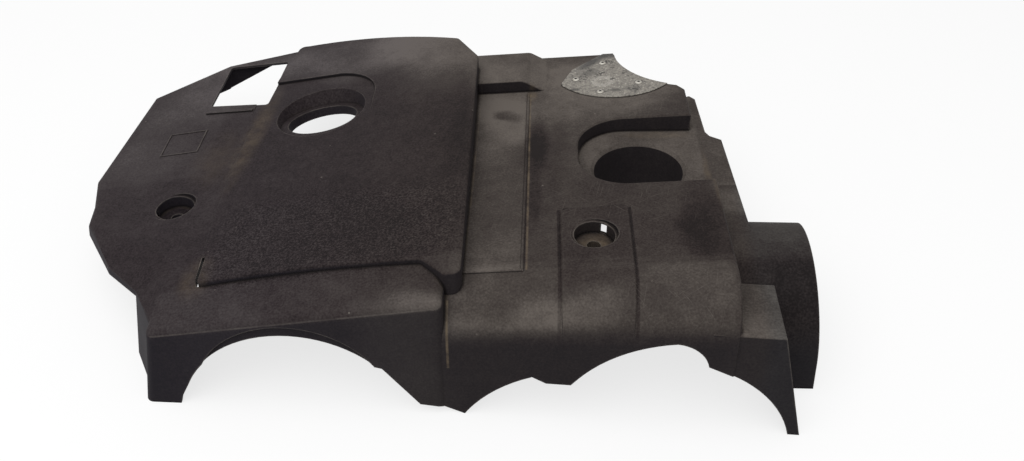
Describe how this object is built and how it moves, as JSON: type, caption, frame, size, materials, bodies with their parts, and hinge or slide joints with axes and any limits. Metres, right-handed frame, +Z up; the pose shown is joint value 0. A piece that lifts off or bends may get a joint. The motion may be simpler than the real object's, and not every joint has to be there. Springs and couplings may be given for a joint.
{
  "type": "engine cover",
  "caption": "Moulded engine cover with a raised centre pad, rolled front hood, filler and filter openings, air duct arch and riveted heat shield.",
  "frame": {"origin": "centre of the cover's outline, on the surface that its lowest edges rest on", "axes": "+X along the engine to the duct's mouth, +Y to the rear, away from the front skirts, +Z up"},
  "size_m": [0.6415, 0.4473, 0.1297],
  "materials": {
    "moulded_plastic": "matte grained dark grey moulding, dusty and scuffed",
    "shield_metal": "dull worn sheet with dark specks",
    "rivet_metal": "dull tubular rivets"
  },
  "bodies": {
    "root": {"cover_shell": "moulded_plastic", "heat_shield": "shield_metal", "shield_rivets": "rivet_metal"}
  },
  "joints": []
}
